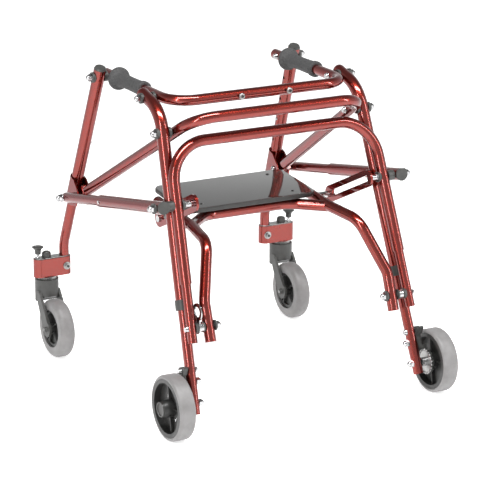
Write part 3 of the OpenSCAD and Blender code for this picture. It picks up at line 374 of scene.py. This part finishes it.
def grip_outline(length):
    """Closed outline of a grip from its flange to its collar, as (radius, height) pairs."""
    flange_round = GRIP_FLANGE - GRIP_ROUND
    collar_round = GRIP_COLLAR - GRIP_SOFT
    collar_start = length - GRIP_COLLAR_L
    return [
        (GRIP_BORE, 0),
        *arc((flange_round, GRIP_ROUND), GRIP_ROUND, -90, 0),
        *arc((flange_round, GRIP_FLANGE_T - GRIP_ROUND), GRIP_ROUND, 0, 70),
        (GRIP_BODY + GRIP_SOFT, GRIP_FLANGE_T + GRIP_SOFT),
        (GRIP_BODY, GRIP_FLANGE_T + 3 * GRIP_SOFT),
        (GRIP_WAIST, length / 2),
        (GRIP_BODY, collar_start - GRIP_SOFT),
        *arc((collar_round, collar_start + GRIP_SOFT), GRIP_SOFT, -70, 0),
        *arc((collar_round, length - GRIP_SOFT), GRIP_SOFT, 0, 90),
        (GRIP_BORE, length),
    ]


def add_grips():
    """Moulded grips with a round flange in front and a collar behind."""
    low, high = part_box("grips")
    for side, way in SIDES.items():
        grip = turned("grip_" + side, grip_outline(high.y - low.y), sides=64, hollow=True)
        centre_x = way * (high.x - (high.z - low.z) / 2)
        set_down(grip, (centre_x, high.y, (low.z + high.z) / 2), axis=(0, -1, 0))
        complete(grip, "grip_rubber", "handle", "grips")


# Seat board

SEAT_SIZE = Vector((294, 147, 10)) * MM
SEAT_CORNER = 18 * MM
SEAT_EDGE = 2.2 * MM
SEAT_SCREW_SHARE = 0.7
SEAT_SCREW = 3.2 * MM
SEAT_SCREW_OUTLINE = ((1, 0), (0.95, 0.2), (0.7, 0.32), (0.45, 0.34), (0.4, 0.1))
TOP_FACING = 0.8


def add_seat_board():
    """Glossy board with round corners and matt softened edges, held by four low screws."""
    mount = frame["record"]["mounts"][0]
    top, up = Vector(mount["pos_m"]), Vector(mount["axis"])
    board = slab("seat_board", SEAT_SIZE)
    bevel_edges(board, lambda a, b: abs(a.z - b.z) > SEAT_SIZE.z / 2, SEAT_CORNER, 8)
    bevel_edges(board, lambda a, b: a.z * b.z > 0 and abs(a.z - b.z) < SEAT_EDGE, SEAT_EDGE, 4)
    set_down(board, top - up * SEAT_SIZE.z / 2, axis=up)
    complete(board, "seat_black", "seat", "seat_plate")
    board.data.materials.append(FINISHES["hub_black"])
    for face in board.data.polygons:
        face.material_index = 1 if face.normal.dot(up) < TOP_FACING else 0
    ahead = Vector((0, up.z, -up.y))
    for row, y in enumerate((-1, 1)):
        for side, way in SIDES.items():
            corner = Vector((way * SEAT_SIZE.x, 0, 0)) + y * SEAT_SIZE.y * ahead
            spot = top + SEAT_SCREW_SHARE / 2 * corner
            outline = scaled(SEAT_SCREW_OUTLINE, SEAT_SCREW, SEAT_SCREW)
            screw = turned(f"seat_screw_{side}_{row}", outline, sides=24)
            set_down(screw, spot, axis=up)
            complete(screw, "hub_black", "seat")


# Caster details

KNOB_NECK = 6.3 * MM
KNOB_FLARE = 12 * MM
KNOB_STEM = 3 * MM
KNOB_LIFT = 10 * MM
KNOB_HEIGHT = 17 * MM
NECK_OUTLINE = ((0.8, 0), (1, 0.06), (1, 0.42), (1.14, 0.58))
FLARE_OUTLINE = ((0.74, 0.74), (0.97, 0.82), (1, 0.88), (0.97, 0.94), (0.8, 0.985), (0.3, 1))


def add_lock_knobs():
    """Mushroom knobs with a flared head on a bright stem."""
    for side in SIDES:
        low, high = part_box("lock_knob_" + side)
        spot = Vector(((low.x + high.x) / 2, (low.y + high.y) / 2, high.z - KNOB_HEIGHT))
        knob = turned("knob_head_" + side, [
            *scaled(NECK_OUTLINE, KNOB_NECK, KNOB_HEIGHT), *scaled(FLARE_OUTLINE, KNOB_FLARE, KNOB_HEIGHT)])
        set_down(knob, spot)
        complete(knob, "black_plastic", "lock_knob_" + side, "lock_knob_" + side)
        foot = low.z - spot.z
        stem = turned("knob_stem_" + side, [
            (KNOB_STEM * 0.8, foot), (KNOB_STEM, foot + KNOB_STEM * 0.3), (KNOB_STEM, -KNOB_LIFT * 0.5),
            (KNOB_STEM * 0.8, -KNOB_LIFT * 0.4), (KNOB_STEM * 0.8, MM)], sides=24)
        set_down(stem, spot)
        complete(stem, "chrome", "lock_knob_" + side, "lock_knob_" + side)


CAP_R = 9.6 * MM
CAP_H = 12.5 * MM
CAP_OUTLINE = ((0.94, 0), (1, 0.05), (1, 0.62), (0.93, 0.78), (0.78, 0.92), (0.5, 1))
CAP_BEVEL = 0.8 * MM
CAP_GAP = 0.2 * MM
CAP_SPIN = math.radians(12)
AXLE_SCREW = 3.2 * MM
AXLE_SCREW_OUTLINE = ((1, 0), (1, 0.2), (0.86, 0.34), (0.5, 0.36), (0.45, 0.08))
FILL_T = 1.6 * MM
STRAP_WALL = 2.4 * MM
MIDDLE_GAP = 0.0001 * MM


def add_swivel_caps():
    """Black hexagon caps over the casters' swivel stems, and bright screws in their axles."""
    for side, way in SIDES.items():
        bracket_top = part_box("caster_bracket_" + side)[1].z
        swivel = joint_place("caster_swivel_" + side)
        cap = turned("swivel_cap_" + side, scaled(CAP_OUTLINE, CAP_R, CAP_H), sides=6)
        bevel_edges(cap, lambda a, b: abs(a.z - b.z) > MM, CAP_BEVEL, 3)
        set_down(cap, (swivel.x, swivel.y, bracket_top + FILL_T + CAP_GAP), spin=CAP_SPIN)
        complete(cap, "black_plastic", "caster_fork_" + side)
        low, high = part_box("caster_fork_" + side)
        axle = joint_place("caster_roll_" + side)
        for end, x in (("in", low.x), ("out", high.x)):
            outline = scaled(AXLE_SCREW_OUTLINE, AXLE_SCREW, AXLE_SCREW)
            screw = turned(f"axle_screw_{side}_{end}", outline, sides=32)
            set_down(screw, (x, axle.y, axle.z), axis=(1 if end == "out" else -1, 0, 0))
            complete(screw, "zinc", "caster_fork_" + side)


def add_bracket_fills():
    """Bare steel filler that shows on top of the caster brackets, inside their red straps."""
    for side in SIDES:
        low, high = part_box("caster_bracket_" + side)
        radius = (high.y - low.y) / 2 - STRAP_WALL
        half_run = (high.x - low.x) / 2 - STRAP_WALL - radius
        fill = turned("bracket_fill_" + side, [(radius, 0), (radius, FILL_T * 0.7), (radius * 0.97, FILL_T)])
        bpy.ops.object.mode_set(mode="EDIT")
        bpy.ops.mesh.select_mode(type="VERT")
        for way in SIDES.values():
            bpy.ops.mesh.select_all(action="DESELECT")
            bpy.ops.object.mode_set(mode="OBJECT")
            for point in fill.data.vertices:
                point.select = point.co.x * way > MIDDLE_GAP
            bpy.ops.object.mode_set(mode="EDIT")
            bpy.ops.transform.translate(value=(way * half_run, 0, 0))
        bpy.ops.object.mode_set(mode="OBJECT")
        set_down(fill, ((low.x + high.x) / 2, (low.y + high.y) / 2, high.z))
        complete(fill, "zinc", "lower_leg_" + side)


# Wheels

RIB_T = 2.8 * MM
RIB_H = 6.5 * MM


def join(pieces, name):
    """Makes one piece of several."""
    activate(pieces[0])
    for piece in pieces:
        piece.select_set(True)
    bpy.ops.object.join()
    pieces[0].name = name
    return pieces[0]


def add_ribs(name, body, centre, inner, outer, face, count, phase):
    """Radial ribs on one face of a hub; face is the web's x offset, phase the first rib's angle in degrees."""
    ribs = []
    way = 1 if face > 0 else -1
    for number in range(count):
        rib = slab(f"{name}_{number}", (outer - inner, RIB_T, RIB_H))
        bevel_edges(rib, lambda a, b: a.z > 0 and b.z > 0, RIB_T * 0.35, 3)
        rib.location = ((outer + inner) / 2, 0, RIB_H / 2)
        activate(rib)
        bpy.ops.object.transform_apply(location=True, rotation=True, scale=True)
        spin = math.radians(phase) + 2 * math.pi * number / count
        set_down(rib, (centre.x + face, centre.y, centre.z), axis=(way, 0, 0), spin=spin)
        ribs.append(rib)
    complete(join(ribs, name), "hub_black", body)


HUB_CAP = 14.4 * MM
HUB_CAP_LIP = 2.4 * MM
HUB_CAP_SINK = MM
HUB_CAP_OUTLINE = ((1.02, 0.6), (1, 0.95), (0.95, 1), (0.84, 0.92), (0.8, 0.2), (0.3, 0.1))
REAR_WEB = 3 * MM
REAR_RIB_SPAN = (16.5 * MM, 49 * MM)
REAR_RIBS = 4
REAR_RIB_PHASE = 8
WEB_SCREW = 3.4 * MM
WEB_SCREW_AT = 25 * MM
TOOTH_R = 2.5 * MM
TOOTH_AT = 23.2 * MM
TOOTH_OUTLINE = ((1, -2), (1, 0), (0.9, 0.35), (0.6, 0.6))
TEETH = 22
CASTER_RIBS = 5
CASTER_RIB_PHASE = 36
CASTER_RIB_SPAN = (10.5 * MM, 31.8 * MM)
CASTER_WEB = 8 * MM


def round_the_axle(centre, radius, angle):
    """A place round a wheel's axle; the angle runs from forward to up, in radians."""
    return centre + radius * Vector((0, math.cos(angle), math.sin(angle)))


def add_web_screws(side, way, axle):
    """Bright screws on the outer face of a rear hub's web, between its ribs."""
    screws = []
    for number in range(REAR_RIBS):
        angle = math.radians(REAR_RIB_PHASE) + 2 * math.pi * (number + 0.5) / REAR_RIBS
        screw = domed_head(f"web_screw_{side}_{number}", WEB_SCREW)
        spot = round_the_axle(axle, WEB_SCREW_AT, angle) + Vector((way * REAR_WEB, 0, 0))
        set_down(screw, spot, axis=(way, 0, 0))
        screws.append(screw)
    complete(join(screws, "web_screws_" + side), "chrome", "rear_wheel_" + side)


def add_ratchet_teeth(side, way, axle):
    """Rounded teeth on the face of a ratchet ring."""
    low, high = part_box("ratchet_" + side)
    face_x = low.x if way > 0 else high.x
    teeth = []
    for number in range(TEETH):
        angle = 2 * math.pi * number / TEETH
        tooth = turned(f"ratchet_tooth_{side}_{number}", scaled(TOOTH_OUTLINE, TOOTH_R, TOOTH_R), sides=12)
        spot = round_the_axle(Vector((face_x, axle.y, axle.z)), TOOTH_AT, angle)
        set_down(tooth, spot, axis=(-way, 0, 0))
        teeth.append(tooth)
    complete(join(teeth, "ratchet_teeth_" + side), "zinc", "rear_wheel_" + side)


def add_wheel_details():
    """Ribs, screws and teeth of the wheels, and cupped caps on the rear hubs."""
    for side, way in SIDES.items():
        rear, caster = joint_place("wheel_roll_" + side), joint_place("caster_roll_" + side)
        for end, face in (("out", way), ("in", -way)):
            add_ribs(f"rear_ribs_{side}_{end}", "rear_wheel_" + side, rear, *REAR_RIB_SPAN, face * REAR_WEB,
                     REAR_RIBS, REAR_RIB_PHASE)
            add_ribs(f"caster_ribs_{side}_{end}", "caster_wheel_" + side, caster, *CASTER_RIB_SPAN,
                     face * CASTER_WEB, CASTER_RIBS, CASTER_RIB_PHASE)
        add_web_screws(side, way, rear)
        add_ratchet_teeth(side, way, rear)
        low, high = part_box("rear_hub_" + side)
        outer_x = high.x if way > 0 else low.x
        cap = turned("hub_cap_" + side, [
            (HUB_CAP * 0.9, -HUB_CAP_SINK), (HUB_CAP, -HUB_CAP_SINK),
            *scaled(HUB_CAP_OUTLINE, HUB_CAP, HUB_CAP_LIP)])
        set_down(cap, (outer_x, rear.y, rear.z), axis=(way, 0, 0))
        complete(cap, "black_plastic", "rear_wheel_" + side)


# Frame fittings

RAIL_R = 11 * MM
RAIL_SLOPE = math.radians(5.5)
RAIL_X = 154 * MM
PLUG_LIP = 3 * MM
PLUG_OUTLINE = ((1, 0.6), (0.9, 0.9), (0.6, 1))
PLUG_GAP = 0.1 * MM
BOLT_R = 6.6 * MM
# Black hexagon in a handle screw's socket: painted shade for the shade inside the socket.
SOCKET_SHADE_R = 3.2 * MM
# Black hexagon in a caster bolt's socket: painted shade for the shade inside the socket.
CASTER_SOCKET_SHADE = 2.9 * MM
CASTER_SOCKET_SHADE_OUTLINE = ((1, -1), (1, 0.3), (0.85, 0.5), (0.5, 0.2))
CASTER_WASHER = 8 * MM
HANDLE_SCREW = 6.3 * MM
HANDLE_SCREW_X = 52.5 * MM
HANDLE_SOCKET_SHADE_OUTLINE = ((1, 0), (1, 0.66), (0.8, 0.68), (0.5, 0.6))
BRACKET_HALF = 15.1 * MM


def rail_height(y):
    """Height of a rail's axis at a place along the part, from the seat's top face."""
    mount = frame["record"]["mounts"][0]
    top, up = Vector(mount["pos_m"]), Vector(mount["axis"])
    lift = SEAT_SIZE.z + math.sqrt(RAIL_R ** 2 - (RAIL_X - SEAT_SIZE.x / 2) ** 2)
    base = top - up * lift
    return base.z + (y - base.y) * math.tan(RAIL_SLOPE)


def add_rail_plugs():
    """Black plugs in the open ends of the seat's rails."""
    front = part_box("seat_frame")[1]
    along = Vector((0, math.cos(RAIL_SLOPE), math.sin(RAIL_SLOPE)))
    for side, way in SIDES.items():
        end = Vector((way * RAIL_X, front.y - RAIL_R * math.sin(RAIL_SLOPE), 0))
        end.z = rail_height(end.y)
        plug = turned("rail_plug_" + side, [
            (RAIL_R * 0.8, -PLUG_LIP), (RAIL_R * 0.8, PLUG_GAP), (RAIL_R, PLUG_GAP),
            *scaled(PLUG_OUTLINE, RAIL_R, PLUG_LIP)])
        set_down(plug, end, axis=along)
        complete(plug, "black_plastic", "seat")


def add_bracket_bolts():
    """Bright heads on the inner cheeks of the leg brackets."""
    for side in SIDES:
        nut = middle("rod_nut_" + side)
        outward = joint_axis("leg_button_" + side)
        centre = Vector((middle("leg_bracket_" + side).x, nut.y, nut.z))
        head = domed_head("bracket_head_" + side, BOLT_R)
        set_down(head, centre - outward * BRACKET_HALF, axis=-outward)
        complete(head, "chrome", "front_leg_" + side)


def add_caster_socket_shades():
    """Black hexagons in the sockets of the caster brackets' bolts: painted shade, standing in for the shade inside
    the sockets.
    """
    for side, way in SIDES.items():
        low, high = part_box("caster_bolt_" + side)
        leg_x = (low.x if way > 0 else high.x) + way * CASTER_WASHER
        height = middle("caster_bracket_" + side).z
        # Painted shade: a black hexagon where the socket's recess lies in shade.
        socket_shade = turned("caster_socket_shade_" + side, scaled(CASTER_SOCKET_SHADE_OUTLINE, CASTER_SOCKET_SHADE, MM), sides=6)
        set_down(socket_shade, (leg_x, low.y, height), axis=(0, -1, 0))
        complete(socket_shade, "hub_black", "lower_leg_" + side)


def add_handle_screws():
    """Button heads on the two screws in the handle's rear run, each with a black hexagon in its socket: painted
    shade for the shade inside the socket.
    """
    rear_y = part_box("handle_fasteners")[0].y
    height = middle("handle_bar").z
    for side, way in SIDES.items():
        head = domed_head("handle_screw_" + side, HANDLE_SCREW)
        set_down(head, (way * HANDLE_SCREW_X, rear_y, height), axis=(0, -1, 0))
        complete(head, "zinc", "handle")
        # Painted shade: a black hexagon where the screw's socket lies in shade.
        socket_shade = turned("handle_socket_shade_" + side, scaled(HANDLE_SOCKET_SHADE_OUTLINE, SOCKET_SHADE_R, HANDLE_SCREW), sides=6)
        set_down(socket_shade, (way * HANDLE_SCREW_X, rear_y, height), axis=(0, -1, 0))
        complete(socket_shade, "hub_black", "handle")


# Floor, light and camera

FLOOR_SIZE = 60
FLOOR_GLOW = 0.55
SOFTBOXES = {
    # Name: place and size in metres, power in watts
    "box_above": ((-0.3, -1.2, 3.4), (3.2, 0.6), 170),
    "box_left": ((-3.1, -1.9, 2.0), (0.3, 2.6), 60),
    "box_right": ((2.6, -2.8, 2.0), (0.3, 2.6), 45),
}
LIGHT_TARGET = Vector((0, 0, 0.3))


def add_floor():
    """Wide pale floor with a faint mottle, lit a little from within."""
    deselect()
    bpy.ops.mesh.primitive_grid_add(x_subdivisions=4, y_subdivisions=4, size=FLOOR_SIZE, location=(0, 0, 0))
    floor = bpy.context.object
    floor.name = "studio_floor"
    finish, tree, shader = start_finish("pale_floor")
    mottle = noise(tree, place_socket(tree), 3)
    colour = tinted(tree, mottle, (0.90, 0.90, 0.90), (0.93, 0.93, 0.93))
    tree.links.new(colour, shader.inputs["Base Color"])
    shader.inputs["Roughness"].default_value = 0.7
    shader.inputs["Specular IOR Level"].default_value = 0.2
    shader.inputs["Emission Color"].default_value = (1, 1, 1, 1)
    shader.inputs["Emission Strength"].default_value = FLOOR_GLOW
    floor.data.materials.append(finish)


def add_softbox(name, place, size, watts):
    """A rectangular soft light that faces a point."""
    lamp = bpy.data.lights.new(name, "AREA")
    lamp.shape = "RECTANGLE"
    lamp.size, lamp.size_y = size
    lamp.energy = watts
    holder = bpy.data.objects.new(name, lamp)
    holder.location = place
    holder.rotation_euler = (LIGHT_TARGET - Vector(place)).to_track_quat("-Z", "Y").to_euler()
    bpy.context.scene.collection.objects.link(holder)


def add_studio():
    """Room that is white at the horizon and dims overhead, with three soft boxes."""
    world = bpy.data.worlds.new("studio")
    world.use_nodes = True
    tree = world.node_tree
    direction = add_node(tree, "ShaderNodeTexCoord").outputs["Generated"]
    height = add_node(tree, "ShaderNodeSeparateXYZ", {"Vector": direction}).outputs["Z"]
    sky = tinted(tree, height, (0.95, 0.95, 0.95), (0.22, 0.22, 0.22), 0.12, 0.75)
    tree.links.new(sky, tree.nodes["Background"].inputs["Color"])
    bpy.context.scene.world = world
    for name, (place, size, watts) in SOFTBOXES.items():
        add_softbox(name, place, size, watts)
    bpy.context.scene.view_settings.view_transform = "Standard"


CAMERA_PLACE = Vector((-2.4112, -4.3650, 1.7400))
CAMERA_TARGET = Vector((-0.0079, -0.0190, 0.2848))
CAMERA_ROLL = math.radians(0.23)
CAMERA_LENS = 195.6
CAMERA_SENSOR = 36


def add_camera():
    """Camera at the photograph's place."""
    lens = bpy.data.cameras.new("photo_view")
    lens.lens = CAMERA_LENS
    lens.sensor_width = CAMERA_SENSOR
    holder = bpy.data.objects.new("photo_view", lens)
    turn = (CAMERA_TARGET - CAMERA_PLACE).to_track_quat("-Z", "Y").to_matrix().to_4x4()
    holder.matrix_world = Matrix.Translation(CAMERA_PLACE) @ turn @ Matrix.Rotation(CAMERA_ROLL, 4, "Z")
    bpy.context.scene.collection.objects.link(holder)
    bpy.context.scene.camera = holder


add_grips()
add_seat_board()
add_lock_knobs()
add_swivel_caps()
add_bracket_fills()
add_wheel_details()
add_rail_plugs()
add_bracket_bolts()
add_caster_socket_shades()
add_handle_screws()
add_floor()
add_studio()
add_camera()
